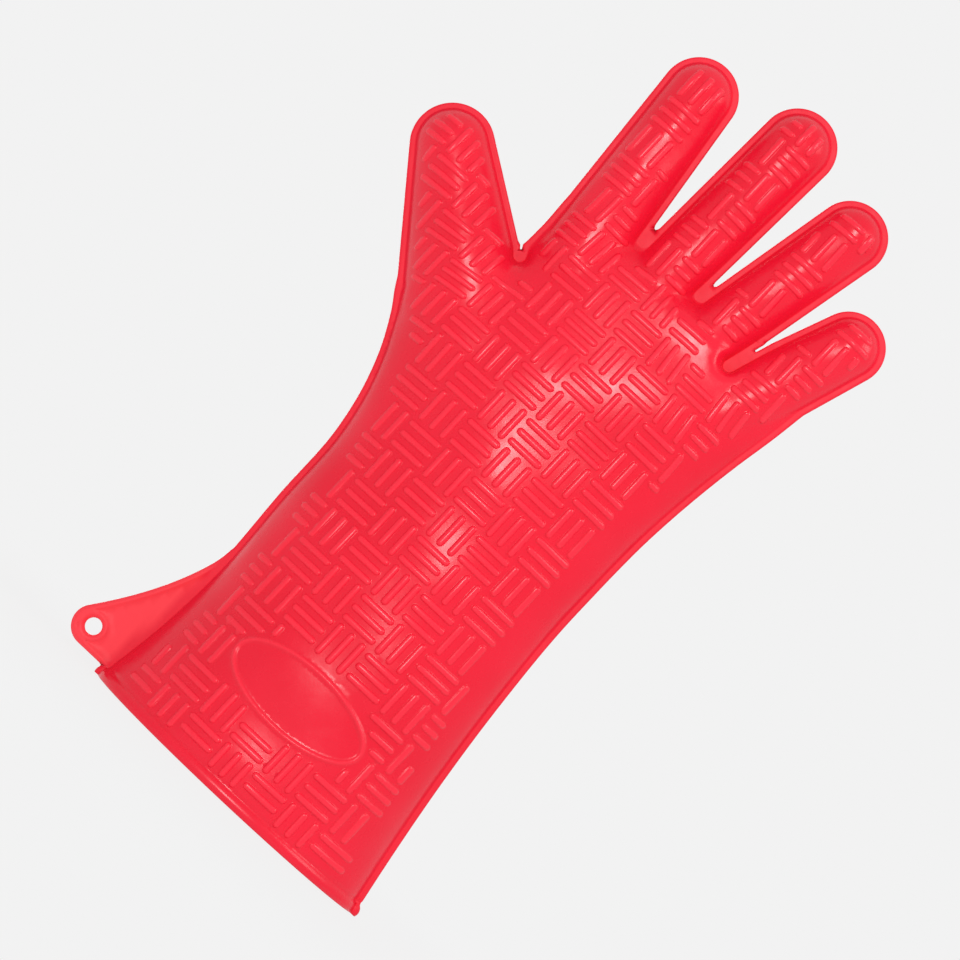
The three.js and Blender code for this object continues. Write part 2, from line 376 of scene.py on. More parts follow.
def palm_height(p, inset):
    centre, half, depth = sleeve_section(p[:, 1])
    u = np.clip(np.abs(p[:, 0] - centre) / (half - inset), 0, 1)
    crown = (depth - (inset - FIN)) * (1 - u * u) ** BODY_FLANK
    sink = smooth_step((PALM_TOP + 1 - p[:, 1]) / PALM_FADE)
    return crown * beside_slot(p, inset, SLOT_SHOULDER) * sink


def beside_slot(p, inset, reach):
    """Share of the full height that the skin has next to a slot, rising as a quarter round."""
    shoulder = np.clip(slot_distance(p, inset - FIN) / reach, 0, 1)
    return np.sqrt(1 - (1 - shoulder) ** 2)


def body_height(p, inset):
    height = palm_height(p, inset)
    for digit in digits:
        softness = THUMB_JOIN if digit.name == "thumb" else FINGER_JOIN
        height = joined(height, digit.height(p, inset), softness)
    height = height * beside_slot(p, inset, WEB_SHOULDER)
    height = height + unevenness(p) * smooth_step(height / UNEVEN_FROM)
    return np.where(body_distance(p, inset) < 0, height, 0)


def unevenness(p):
    """Long soft waves in the skin, as thin moulded silicone keeps from its mould and its wearer."""
    waves = [
        amount * np.sin((p[:, 0] * math.cos(turn) + p[:, 1] * math.sin(turn)) * 2 * math.pi / length + shift)
        for amount, length, turn, shift in UNEVEN_WAVES
    ]
    return sum(waves) * smooth_step((p[:, 1] - RIM_HEIGHT) / UNEVEN_FROM)


# ---------------- outlines

TAB_CORNER = TAB_LOW[::2] + TAB_RADIUS
TAB_TOP = TAB_HIGH[::2] + [0.4, 6]


def tab_outline():
    """Corner points of the hanging tab: a hollow free edge, a round corner and a foot."""
    turn = np.radians(np.linspace(140, 270, 14))
    corner = TAB_CORNER + TAB_RADIUS * np.stack([np.cos(turn), np.sin(turn)], axis=1)
    t = np.linspace(0, 1, 12, endpoint=False)[:, None]
    edge = TAB_TOP * (1 - t) ** 2 + 2 * (TAB_TOP + TAB_BEND) * t * (1 - t) + corner[0] * t * t
    inside = TAB_TOP[0] + TAB_OVERLAP
    return np.vstack([edge, corner, [[inside, TAB_LOW[2]], [inside, TAB_TOP[1]]]])


def inside_loops(p, starts, ends):
    """Which points lie inside an odd number of the closed loops made of these edges."""
    odd = np.zeros(len(p), bool)
    for a, b in zip(starts, ends):
        if a[1] != b[1]:
            crosses = (a[1] > p[:, 1]) != (b[1] > p[:, 1])
            odd ^= crosses & (p[:, 0] < a[0] + (b[0] - a[0]) * (p[:, 1] - a[1]) / (b[1] - a[1]))
    return odd


def tab_distance(p, reach=20.0):
    """Signed distance to the hanging tab with its hole, negative inside; FAR beyond its reach."""
    starts = tab_outline()
    ends = np.roll(starts, -1, axis=0)
    near = (p < TAB_TOP + reach).all(axis=1)
    q = p[near]
    away = np.full(len(q), FAR)
    for a, b in zip(starts, ends):
        edge = b - a
        t = np.clip((q - a) @ edge / (edge @ edge), 0, 1)
        away = np.minimum(away, norm(q - a - t[:, None] * edge, axis=1))
    nearest = np.full(len(p), FAR)
    nearest[near] = np.where(inside_loops(q, starts, ends), -away, away)
    return np.maximum(nearest, HOLE_RADIUS - norm(p - TAB_CORNER - HOLE_SHIFT, axis=1))


def whole_distance(p):
    """Signed distance to the outline of everything: body, fin, webs and tab."""
    fin = body_distance(p, FIN) - FIN
    webbed = -smooth_max(-fin, -slot_distance(p, WEB_OVERLAP, webs=True), WEB_TURN)
    return -smooth_max(-webbed, -tab_distance(p), TAB_TURN)


def unit(v, least=1e-9):
    return v / np.maximum(norm(v, axis=1), least)[:, None]


def slopes(field, p, step):
    """How steeply the field rises along x and along z."""
    rises = [field(p + move) - field(p - move) for move in ([step, 0], [0, step])]
    return np.stack(rises, axis=1) / (2 * step)


def gradient(field, p):
    return unit(slopes(field, p, 0.02))


def pull_to_zero(field, p, rounds=3):
    for _ in range(rounds):
        p = p - gradient(field, p) * field(p)[:, None]
    return p


def trace(field, spacing, cell=0.5):
    """Closed or open chains of points on field = 0, evenly spaced, with the material on one side."""
    xs, zs = (np.arange(low - TRACE_MARGIN, high + TRACE_MARGIN, cell)
              for low, high in zip(PLANE_LOW, PLANE_HIGH))
    values = field(grid_points(xs, zs)).reshape(len(xs), len(zs))
    inside = values < 0
    links = {}

    def crossing(i, j, axis):
        k, m = i + 1 - axis, j + axis
        t = values[i, j] / (values[i, j] - values[k, m])
        return np.array([xs[i] + (xs[k] - xs[i]) * t, zs[j] + (zs[m] - zs[j]) * t])

    here = inside[:-1, :-1]
    mixed = here ^ inside[1:, :-1] | here ^ inside[:-1, 1:] | here ^ inside[1:, 1:]
    for i, j in zip(*np.nonzero(mixed)):
        keys = ((i, j, 0), (i, j + 1, 0), (i, j, 1), (i + 1, j, 1))
        sides = [(k, m, axis) for k, m, axis in keys if inside[k, m] != inside[k + 1 - axis, m + axis]]
        for a, b in zip(sides[::2], sides[1::2]):
            links.setdefault(a, []).append(b)
            links.setdefault(b, []).append(a)
    chains = []
    ends = [key for key, near in links.items() if len(near) == 1]
    seen = set()
    for start in ends + list(links):
        if start in seen:
            continue
        chain, key = [], start
        while key is not None:
            seen.add(key)
            chain.append(key)
            key = next((n for n in links[key] if n not in seen), None)
        closed = len(links[start]) == 2 and len(chain) > 2
        points = np.array([crossing(*key) for key in chain])
        chains.append(even(pull_to_zero(field, points), spacing, closed))
    return [pull_to_zero(field, chain) for chain in chains]


def even(points, spacing, closed):
    if closed:
        points = np.vstack([points, points[:1]])
    steps = norm(np.diff(points, axis=0), axis=1)
    run = np.concatenate([[0], np.cumsum(steps)])
    count = max(3, round(run[-1] / spacing))
    at = np.linspace(0, run[-1], count + 1)
    if closed:
        at = at[:-1]
    return np.stack([np.interp(at, run, points[:, k]) for k in (0, 1)], axis=1)


def rings(field, chain, depths, slack=0.12):
    """Points at each depth inside the chain, left out where another edge is nearer."""
    inward = -gradient(field, chain)
    shrunk = [chain + inward * depth for depth in depths]
    return [p[-field(p) > depth - slack] for p, depth in zip(shrunk, depths)]


# ---------------- raised pattern

def plain_band(p):
    """Width of the band along the body's edge that carries no bars."""
    digit = np.max([d.height(p, FIN) for d in digits], axis=0)
    palm = smooth_step((palm_height(p, FIN) - digit) / PLAIN_BLEND + 0.5)
    return PLAIN_DIGIT + (PLAIN_SLEEVE - PLAIN_DIGIT) * palm


def oval_distance(p):
    """Signed distance to the badge's oval line, to first order."""
    rel = (p - BADGE_CENTRE) / BADGE_HALF
    size = norm(rel, axis=1)
    slope = norm(rel / BADGE_HALF, axis=1) / np.maximum(size, 1e-6)
    return (size - 1) / np.maximum(slope, 1e-6)


def badge_height(p):
    return BADGE_HEIGHT * (1 - smooth_step(np.abs(oval_distance(p)) / BADGE_LINE))


def weave_shift(p):
    """How the basketweave's straight grid lies shifted on the palm's upper part and on the digits."""
    moved = np.zeros(p.shape)
    total = np.zeros(len(p))
    for digit in digits:
        start, length, dx, dz = WEAVE_SHIFTS[digit.name]
        near = smooth_step(1 - digit.distance(p, 0) / WEAVE_BLEND)
        share = near * smooth_step((digit.station(p) - start) / length)
        moved += share[:, None] * [dx, dz]
        total += near
    shift = moved / np.maximum(total, 1)[:, None]
    shift[:, 1] += WEAVE_SHRINK * np.maximum(p[:, 1] - WEAVE_STRAIGHT, 0)
    return shift


def from_weave(q, rounds=6):
    """Places on the glove of places in the weave's own grid."""
    p = q
    for _ in range(rounds):
        p = q - weave_shift(p)
    return p


class Weave:
    """Bars of the basketweave, each cut back to the part of it that clears the plain bands."""

    def __init__(self, with_badge):
        centre = np.array([BLOCK_X, BLOCK_Z])
        self.first = np.floor((PLANE_LOW - centre) / BLOCK).astype(int)
        self.count = np.ceil((PLANE_HIGH - centre) / BLOCK).astype(int) - self.first + 1
        self.bars = []
        places = []
        for i, j, bar in np.ndindex(*self.count, BARS):
            lying = (i + j + self.first.sum()) % 2 == 0
            along, across = (0, 1) if lying else (1, 0)
            middle = centre + (self.first + [i, j]) * BLOCK
            middle[across] += (bar - (BARS - 1) / 2) * BLOCK[across] / BARS
            half = (BLOCK[along] - BLOCK_GAP) / 2 - BAR_HALF
            p = np.tile(middle, (BAR_SAMPLES, 1))
            p[:, along] += np.linspace(-half, half, BAR_SAMPLES)
            self.bars.append((i, j, bar, along, half, middle))
            places.append(p)
        places = from_weave(np.vstack(places))
        clear = -body_distance(places, FIN) > plain_band(places) + BAR_HALF / 2
        clear &= places[:, 1] > RIM_HEIGHT + BAR_OVER_RIM
        if with_badge:
            clear &= oval_distance(places) > BADGE_LINE + BAR_HALF + BADGE_CLEAR
        self.spans = np.zeros((*self.count, BARS, 2))
        for (i, j, bar, _, half, _), row in zip(self.bars, clear.reshape(-1, BAR_SAMPLES)):
            self.spans[i, j, bar] = self.longest_run(row, np.linspace(-half, half, BAR_SAMPLES))

    @staticmethod
    def longest_run(row, reach):
        first, end, start = 0, 0, 0
        for k, free in enumerate([*row, False]):
            if not free:
                if k - start > end - first:
                    first, end = start, k
                start = k + 1
        if end - first < 2 or reach[end - 1] - reach[first] < SHORTEST_BAR:
            return 1.0, -1.0
        return reach[first], reach[end - 1]

    def height(self, p):
        rel = (p + weave_shift(p) - [BLOCK_X, BLOCK_Z]) / BLOCK
        cell = np.round(rel).astype(int)
        local = (rel - cell) * BLOCK
        lying = cell.sum(axis=1) % 2 == 0
        along = np.where(lying, local[:, 0], local[:, 1])
        across = np.where(lying, local[:, 1], local[:, 0])
        pitch = np.where(lying, BLOCK[1], BLOCK[0]) / BARS
        bar = np.clip(np.round(across / pitch) + (BARS - 1) / 2, 0, BARS - 1)
        off = across - (bar - (BARS - 1) / 2) * pitch
        index = cell - self.first
        known = np.all((index >= 0) & (index < self.count), axis=1)
        index = np.clip(index, 0, self.count - 1)
        span = self.spans[index[:, 0], index[:, 1], bar.astype(int)]
        past = np.maximum(np.maximum(span[:, 0] - along, along - span[:, 1]), 0)
        reach = np.clip(np.hypot(off, past) / BAR_HALF, 0, 1)
        there = known & (span[:, 1] >= span[:, 0])
        return np.where(there, BAR_HEIGHT * (1 - reach ** BAR_CROWN) ** BAR_FLANK, 0)

    def outlines(self):
        """Rings of points round the top, shoulder and foot of every bar, and the points on its crown."""
        loops, crowns = [], []
        for i, j, bar, along, _, middle in self.bars:
            low, high = self.spans[i, j, bar]
            if low > high:
                continue
            run = np.linspace(low, high, max(2, math.ceil((high - low) / BAR_STEP) + 1))
            crowns.append(self.placed(middle, along, [[s, 0] for s in run]))
            for radius in BAR_RINGS:
                turn = np.radians(np.linspace(-90, 90, 7 if radius > 1 else 5)[1:-1])
                loop = [[s, -radius] for s in run]
                loop += [[high + radius * math.cos(a), radius * math.sin(a)] for a in turn]
                loop += [[s, radius] for s in run[::-1]]
                loop += [[low - radius * math.cos(a), -radius * math.sin(a)] for a in turn]
                loops.append(self.placed(middle, along, loop))
        return loops, crowns

    @staticmethod
    def placed(middle, along, shape):
        shape = np.array(shape)
        return middle + (shape if along == 0 else shape[:, ::-1])


# ---------------- points in the parting plane

def grid_points(xs, zs):
    gx, gz = np.meshgrid(xs, zs, indexing="ij")
    return np.stack([gx.ravel(), gz.ravel()], axis=1)


def foot_points(field, depths, reach=90.0, halvings=40):
    """Points on z = 0 at the field's two edges and at the given depths inside them."""
    row = []
    for side in (-1, 1):
        outside, inside = RIM_X + side * reach, RIM_X
        for _ in range(halvings):
            middle = (outside + inside) / 2
            if field(np.array([[middle, 0.0]]))[0] < 0:
                inside = middle
            else:
                outside = middle
        row += [[inside - side * depth, 0.0] for depth in (0, *depths)]
    return np.array(row)


def foot_row(edges, xs, spare):
    """Points on z = 0: at these fields' edges and depths, and at the xs that lie well inside them."""
    foot = np.vstack([foot_points(field, depths) for field, depths in edges])
    xs = xs[(xs > foot[:, 0].min() + spare) & (xs < foot[:, 0].max() - spare)]
    return np.vstack([foot, np.stack([xs, 0 * xs], axis=1)])


def thin_out(points, first, spacing):
    """All points up to first, then those that keep clear of the ones before them."""
    cells = {}
    kept = []
    for k, (x, z) in enumerate(points.tolist()):
        i, j = int(x // spacing), int(z // spacing)
        near = [q for a in (i - 1, i, i + 1) for b in (j - 1, j, j + 1) for q in cells.get((a, b), ())]
        if k < first or all((u - x) ** 2 + (w - z) ** 2 > spacing * spacing for u, w in near):
            cells.setdefault((i, j), []).append((x, z))
            kept.append(k)
    return points[kept]


def ring_edges(loops, gap):
    """The loops' points in one array, and the edges between neighbours no further apart than gap."""
    edges, first = [], 0
    for loop in loops:
        after = np.roll(loop, -1, axis=0)
        near = np.nonzero(norm(after - loop, axis=1) < gap)[0]
        edges += [[first + k, first + (k + 1) % len(loop)] for k in near.tolist()]
        first += len(loop)
    return np.vstack(loops), edges


def delaunay(points, edges, same):
    """Places and triangles of a mesh with these edges; points within the distance same are one."""
    result = delaunay_2d_cdt([Vector(p) for p in points], edges, [], 0, same)
    return np.array([[v.x, v.y] for v in result[0]]), np.array(result[2])


def triangles_of(points, edges, field):
    """Delaunay triangles of the points, with these edges among them, whose middle is inside field = 0."""
    places, faces = delaunay(points, edges, 1e-7)
    a, b, c = (places[faces[:, k]] for k in range(3))
    turn = (b - a)[:, 0] * (c - a)[:, 1] - (b - a)[:, 1] * (c - a)[:, 0]
    faces = np.where(turn[:, None] > 0, faces, faces[:, ::-1])
    middle = (a + b + c) / 3
    faces = faces[(field(middle) < 0) & (middle[:, 1] > 0) & (np.abs(turn) > 1e-5)]
    on_edge = np.zeros(len(places), bool)
    rim = open_edges(faces)
    on_edge[rim[(places[rim, 1] > 0).any(axis=1)]] = True
    return places, faces[~on_edge[faces].all(axis=1)], on_edge


def open_edges(faces):
    """Edges that only one triangle uses, in that triangle's direction."""
    edges = np.vstack([faces[:, [0, 1]], faces[:, [1, 2]], faces[:, [2, 0]]])
    _, first, count = np.unique(np.sort(edges, axis=1), axis=0, return_index=True, return_counts=True)
    return edges[first[count == 1]]


# ---------------- the two skins

def body_edge(p):
    return body_distance(p, FIN)


def hollow_edge(p):
    return body_distance(p, FIN + WALL)


def beside_sleeve(p):
    """How far p lies outside the sleeve's edge on the thumb side, next to the tab."""
    centre, half, _ = sleeve_section(p[:, 1])
    return np.where(p[:, 1] < TAB_TOP[1], centre - half - p[:, 0], -FAR)


def half_thickness(p):
    """Half the outer thickness over the parting plane, without bars and lines."""
    depth = -whole_distance(p)
    rounding = np.sqrt(1 - (1 - np.clip(depth / FIN_RINGS[-1], 0, 1)) ** 2)
    bead = smooth_step((depth - FIN_RINGS[-1]) / TAB_BEAD_RISE)
    bead *= smooth_step((TAB_RINGS[-1] - depth) / TAB_BEAD_FALL)
    fin = FIN_HALF * rounding + TAB_BEAD * bead * smooth_step(beside_sleeve(p) / 1.5)
    return smooth_max(fin, body_height(p, FIN), FILLET)


def rim_swell(z):
    """The bead round the mouth of the cuff and the groove over it."""
    middle = RIM_HEIGHT / 2
    bead = BEAD * (1 - ((z - middle) / (middle + BEAD_OVER_RIM)) ** 2)
    groove = GROOVE * np.exp(-((z - RIM_HEIGHT - GROOVE_OVER_RIM) / GROOVE_HALF) ** 2)
    return np.maximum(bead, 0) - groove


def outer_points(weaves):
    """Points that carry the outer skin, and the edges that its triangles keep."""
    outline = trace(whole_distance, EDGE_STEP)
    body = trace(body_edge, EDGE_STEP)
    root = np.vstack(body)
    fin = [r for chain in outline for r in rings(whole_distance, chain, FIN_RINGS)]
    flanks = [r for chain in body for r in rings(body_edge, chain, BODY_RINGS)]
    tab = np.vstack([r for chain in outline for r in rings(whole_distance, chain, TAB_RINGS)])
    tab_grid = grid_points(np.arange(TAB_LOW[0], TAB_HIGH[0], TAB_GRID),
                           np.arange(TAB_LOW[2], TAB_HIGH[2], TAB_GRID))
    tab_grid = tab_grid[whole_distance(tab_grid) < -TAB_RINGS[-1] - 1]
    tab = np.vstack([tab, tab_grid])
    tab = tab[beside_sleeve(tab) > -FIN + 0.5]

    turn = np.linspace(0, 2 * math.pi, OVAL_STEPS, endpoint=False)
    circle = np.stack([np.cos(turn), np.sin(turn)], axis=1)
    oval = [BADGE_CENTRE + circle * (BADGE_HALF + off) for off in OVAL_RINGS]
    bars, crowns = weaves[1].outlines()
    cut_bars, cut_crowns = weaves[0].outlines()
    clear = [loop for loop in map(from_weave, bars) if oval_distance(loop).min() > OVAL_RINGS[-1] + 0.3]
    xs = np.arange(PLANE_LOW[0], PLANE_HIGH[0], RIM_STEP)
    rim = grid_points(xs, RIM_LINES)
    plain = grid_points(np.arange(PLANE_LOW[0], PLANE_HIGH[0], PLAIN_STEP),
                        np.arange(RIM_LINES[-1] + 1, PLANE_HIGH[1], PLAIN_STEP))
    plain = plain[body_edge(plain) < -BODY_RINGS[-1] - 0.8]
    plain = plain[weaves[1].height(plain) == 0]

    foot = foot_row([(whole_distance, FIN_RINGS), (body_edge, BODY_RINGS)], xs, FIN + BODY_RINGS[-1] + 0.6)
    chains = [above_rim(chain) for chain in outline + body]
    fixed, edges = ring_edges([*chains, *oval, *clear], BAR_STEP + 0.2)
    fixed = np.vstack([fixed, foot])
    loose = from_weave(np.vstack(crowns + cut_bars + cut_crowns + bars))
    inside = [p[body_edge(p) < -BODY_RINGS[-1] - 0.4] for p in (loose, rim)]
    outside = [root + gradient(body_edge, root) * reach for reach in FIN_LINES]
    outside = [p[whole_distance(p) < -FIN_RINGS[-1] - 0.2] for p in outside]
    fine = np.vstack([fixed] + [above_rim(p) for p in (*flanks, *fin, *outside, tab, *inside)])
    fine = thin_out(fine, len(fixed), FINE_SPACING)
    return thin_out(np.vstack([fine, plain]), len(fine), PLAIN_SPACING), edges


def above_rim(p, slack=0.25):
    return p[p[:, 1] > slack]


def outer_skin():
    """Both faces of the outer skin, as rows and triangles.

    A row holds x, y, z, the place on the moulding (0 on the body, 1 on the fin, 2 on the tab) and the
    height of the raised pattern.
    """
    weaves = (Weave(True), Weave(False))
    places, faces, on_edge = triangles_of(*outer_points(weaves), whole_distance)
    height = np.where(on_edge, 0, half_thickness(places))
    rise = slopes(half_thickness, places, 0.03)
    outward = gradient(whole_distance, places)
    blank = np.zeros(len(places))
    normal = np.stack([-rise[:, 0], blank - 1, -rise[:, 1]], axis=1)
    normal[on_edge] = np.stack([outward[:, 0], blank, outward[:, 1]], axis=1)[on_edge]
    normal = unit(normal)
    level = unit(normal * [1, 1, 0], 1e-6)
    swell = smooth_step(0.5 - beside_sleeve(places) / BEAD) * rim_swell(places[:, 1])
    outside = body_edge(places)
    thin = smooth_step(outside / FIN_FOOT + 1) + smooth_step(outside / FIN - 1)
    sides = []
    for weave, badge, side in ((weaves[0], 1, 1), (weaves[1], 0, -1)):
        relief = weave.height(places) + badge * badge_height(places)
        solid = np.stack([places[:, 0], -height, places[:, 1]], axis=1)
        solid = solid + normal * BAR_LEAN * relief[:, None] + level * swell[:, None]
        solid[places[:, 1] == 0, 2] = 0
        sides.append(np.column_stack([solid * [1, side, 1], thin, relief / BAR_HEIGHT]))
    return weld(sides, faces, on_edge)


def weld(sides, faces, on_edge):
    """Joins the palm and back rows of one skin along the edge that they share."""
    number = np.arange(len(on_edge)) + len(on_edge)
    number[on_edge] = np.nonzero(on_edge)[0]
    return np.vstack(sides), np.vstack([faces, number[faces[:, ::-1]]])


def inner_skin():
    """Both faces of the hollow, whose normals look into it."""
    chains = trace(hollow_edge, INNER_EDGE_STEP)
    inside = [r for chain in chains for r in rings(hollow_edge, chain, INNER_RINGS)]
    xs = np.arange(PLANE_LOW[0], PLANE_HIGH[0], INNER_STEP)
    grid = grid_points(xs, np.arange(INNER_STEP, PLANE_HIGH[1], INNER_STEP))
    grid = grid[hollow_edge(grid) < -INNER_RINGS[-1] - 1]
    foot = foot_row([(hollow_edge, INNER_RINGS)], xs, INNER_RINGS[-1] + 1)
    fixed, edges = ring_edges([above_rim(chain, 0.5) for chain in chains], 2 * INNER_EDGE_STEP)
    fixed = np.vstack([fixed, foot])
    points = np.vstack([fixed, above_rim(np.vstack(inside), 0.5), grid])
    places, faces, on_edge = triangles_of(thin_out(points, len(fixed), 0.15), edges, hollow_edge)
    height = np.where(on_edge, 0, body_height(places, FIN + WALL))
    blank = np.zeros(len(places))
    sides = [np.column_stack([places[:, 0], y, places[:, 1], blank, blank]) for y in (-height, height)]
    rows, faces = weld(sides, faces, on_edge)
    return rows, faces[:, ::-1]


def foot_loop(rows, faces):
    """Points of a skin along z = 0, in order, from the thumb side on."""
    edges = open_edges(faces)
    after = dict(edges[(rows[edges, 2] < 1e-6).all(axis=1)].tolist())
    loop = [min(after, key=lambda k: rows[k, 0])]
    while after[loop[-1]] != loop[0]:
        loop.append(after[loop[-1]])
    return loop


def rim_face(rows, outer_faces, inner_faces):
    """Triangles of the flat rim between the outer and the inner skin, looking down."""
    outer = foot_loop(rows, outer_faces)
    inner = foot_loop(rows, inner_faces)[::-1]
    inner = inner[-1:] + inner[:-1]
    outer.append(outer[0])
    inner.append(inner[0])
    i = j = 0
    found = []
    while i < len(outer) - 1 or j < len(inner) - 1:
        here = rows[[outer[i], inner[j]], :3]
        to_outer = norm(rows[outer[i + 1], :3] - here[1]) if i < len(outer) - 1 else math.inf
        to_inner = norm(rows[inner[j + 1], :3] - here[0]) if j < len(inner) - 1 else math.inf
        if to_outer <= to_inner:
            found.append([outer[i + 1], outer[i], inner[j]])
            i += 1
        else:
            found.append([inner[j], inner[j + 1], outer[i]])
            j += 1
    return np.array(found)


def whole_mesh():
    """The whole glove's rows, each with its normal added, and its triangles."""
    outer, outer_faces = outer_skin()
    inner, inner_faces = inner_skin()
    inner_faces = inner_faces + len(outer)
    rows = np.vstack([outer, inner])
    faces = np.vstack([outer_faces, inner_faces, rim_face(rows, outer_faces, inner_faces)])
    a, b, c = (rows[faces[:, k], :3] for k in range(3))
    normal = np.zeros((len(rows), 3))
    for p, q, r, k in ((a, b, c, 0), (b, c, a, 1), (c, a, b, 2)):
        cross = np.cross(q - p, r - p)
        size = norm(cross, axis=1)
        reach = norm(q - p, axis=1) * norm(r - p, axis=1)
        angle = np.arcsin(np.clip(size / np.maximum(reach, 1e-12), 0, 1))
        angle = np.where(((q - p) * (r - p)).sum(axis=1) < 0, math.pi - angle, angle)
        np.add.at(normal, faces[:, k], cross / np.maximum(size, 1e-12)[:, None] * angle[:, None])
    return np.column_stack([rows, unit(normal)]), faces


# ---------------- cutting the skin into pieces

def split(rows, faces, origin, normal, chosen):
    """Cuts the chosen triangles where they cross the plane."""
    side = (rows[:, :3] - origin) @ normal
    side[np.abs(side) < SNAP] = 0
    crossed = chosen & (side[faces].max(axis=1) > 0) & (side[faces].min(axis=1) < 0)
    added, pieces, cuts = [], [], {}

    def cut(a, b):
        key = (min(a, b), max(a, b))
        if key not in cuts:
            cuts[key] = len(rows) + len(added)
            added.append(rows[a] + (rows[b] - rows[a]) * side[a] / (side[a] - side[b]))
        return cuts[key]

    for face in faces[crossed].tolist():
        signs = np.sign(side[face]).tolist()
        turn = signs.index(0) if 0 in signs else signs.index(-sum(signs))
        a, b, c = face[turn:] + face[:turn]
        if 0 in signs:
            middle = cut(b, c)
            pieces += [[a, b, middle], [a, middle, c]]
        else:
            m, n = cut(a, b), cut(a, c)
            pieces += [[a, m, n], [m, b, c], [m, c, n]]
    if not pieces:
        return rows, faces
    return np.vstack([rows, added]), np.vstack([faces[~crossed], pieces])


def cap(rows, faces, origin, outward):
    """Triangles that close the piece on the plane, facing outward."""
    edges = open_edges(faces)
    edges = edges[(np.abs((rows[edges, :3] - origin) @ outward) < 10 * SNAP).all(axis=1)]
    if not len(edges):
        return np.zeros((0, 3), int)
    used, index = np.unique(edges, return_inverse=True)
    index = index.reshape(edges.shape)
    across = np.cross(outward, [0, 1, 0])
    across /= norm(across)
    flat = np.stack([(rows[used, :3] - origin) @ across,
                     (rows[used, :3] - origin) @ np.cross(outward, across)], axis=1)
    places, found = delaunay(flat, index.tolist(), 1e-6)
    keep = inside_loops(places[found].mean(axis=1), flat[index[:, 0]], flat[index[:, 1]])
    nearest = [np.argmin(norm(flat - place, axis=1)) for place in places]
    found = used[nearest][found[keep]]
    a, b, c = (rows[found[:, k], :3] for k in range(3))
    forward = (np.cross(b - a, c - a) @ outward) > 0
    return np.where(forward[:, None], found, found[:, ::-1])


def point(flat):
    """A place in the parting plane as a point in space."""
    return np.array([flat[0], 0.0, flat[1]])


def middles(rows, faces):
    return rows[faces].mean(axis=1)[:, [0, 2]]


def tab_plane():
    """A place on the tab's root and the direction from there into the sleeve."""
    centre, half, _ = sleeve_section(np.array([0.0, TAB_TOP[1]]))
    foot = point([centre[0] - half[0] - BEAD - TAB_ROOT[0], 0])
    top = point([centre[1] - half[1] - TAB_ROOT[1], TAB_TOP[1]])
    along = (top - foot) / norm(top - foot)
    return foot, np.cross(along, [0, 1, 0])


def cut_up(rows, faces):
    """The glove as a list of pieces: name, triangles, and where each one bends."""
    wrist = [point([0, level]) for level in WRIST_ENDS]
    up = np.array([0.0, 0, 1])
    for level in wrist:
        rows, faces = split(rows, faces, level, up, np.ones(len(faces), bool))
    tab_origin, tab_normal = tab_plane()
    p = middles(rows, faces)
    by_tab = (p[:, 1] < TAB_TOP[1]) & (p[:, 0] < TAB_TOP[0] + TAB_SPARE)
    rows, faces = split(rows, faces, tab_origin, tab_normal, by_tab)
    for k, digit in enumerate(digits):
        for start, _ in digit.bends:
            p = middles(rows, faces)
            rows, faces = split(rows, faces, point(digit.at(start)), point(digit.up), nearest_digit(p) == k)

    p = middles(rows, faces)
    home = np.searchsorted(WRIST_ENDS, p[:, 1], side="right")
    side = (rows[faces, :3].mean(axis=1) - tab_origin) @ tab_normal
    home[(side < 0) & (p[:, 1] < TAB_TOP[1])] = 3
    pieces = [
        ("cuff_skin", [(wrist[0], up), (tab_origin, -tab_normal)]),
        ("wrist_skin", [(wrist[0], -up), (wrist[1], up)]),
        ("palm_skin", [(wrist[1], -up)]),
        ("tab_skin", [(tab_origin, tab_normal)]),
    ]
    nearest = nearest_digit(p)
    for k, digit in enumerate(digits):
        planes = [(point(digit.at(start)), point(digit.up)) for start, _ in digit.bends]
        pieces[2][1].append(planes[0])
        station = digit.station(p)
        for n, (segment, (start, _)) in enumerate(zip(digit.segments, digit.bends)):
            home[(nearest == k) & (station > start)] = len(pieces)
            ends = [(planes[n][0], -planes[n][1])] + planes[n + 1:n + 2]
            pieces.append((f"{digit.name}_{segment}_skin", ends))
    return rows, [(name, faces[home == k], ends) for k, (name, ends) in enumerate(pieces)]


def add_object(name, data):
    item = bpy.data.objects.new(name, data)
    bpy.context.scene.collection.objects.link(item)
    return item


def make_piece(name, rows, faces, ends):
    """One closed Blender mesh with the whole glove's smooth normals, so that no seam shows."""
    caps, cap_normals = [], []
    for origin, outward in ends:
        found = cap(rows, faces, origin, outward)
        caps.append(found)
        cap_normals.append(np.tile(outward, (3 * len(found), 1)))
    normals = np.vstack([rows[faces.ravel(), 5:8], *cap_normals])
    faces = np.vstack([faces, *caps])
    used, faces = np.unique(faces, return_inverse=True)
    faces = faces.reshape(-1, 3)
    kept = rows[used]
    mesh = bpy.data.meshes.new(name)
    mesh.from_pydata((kept[:, :3] * MM).tolist(), [], faces.tolist())
    mesh.polygons.foreach_set("use_smooth", np.ones(len(faces), bool))
    for attribute, column in (("thin", 3), ("bar", 4)):
        layer = mesh.attributes.new(attribute, "FLOAT", "POINT")
        layer.data.foreach_set("value", kept[:, column].astype(np.float32))
    mesh.normals_split_custom_set(unit(normals).tolist())
    mesh.materials.append(SILICONE)
    piece = add_object(name, mesh)
    return piece


# ---------------- material

def srgb(red, green, blue):
    """Linear colour of an sRGB one given in 0 to 255."""
    def linear(c):
        c /= 255
        return c / 12.92 if c < 0.04045 else ((c + 0.055) / 1.055) ** 2.4
    return linear(red), linear(green), linear(blue), 1


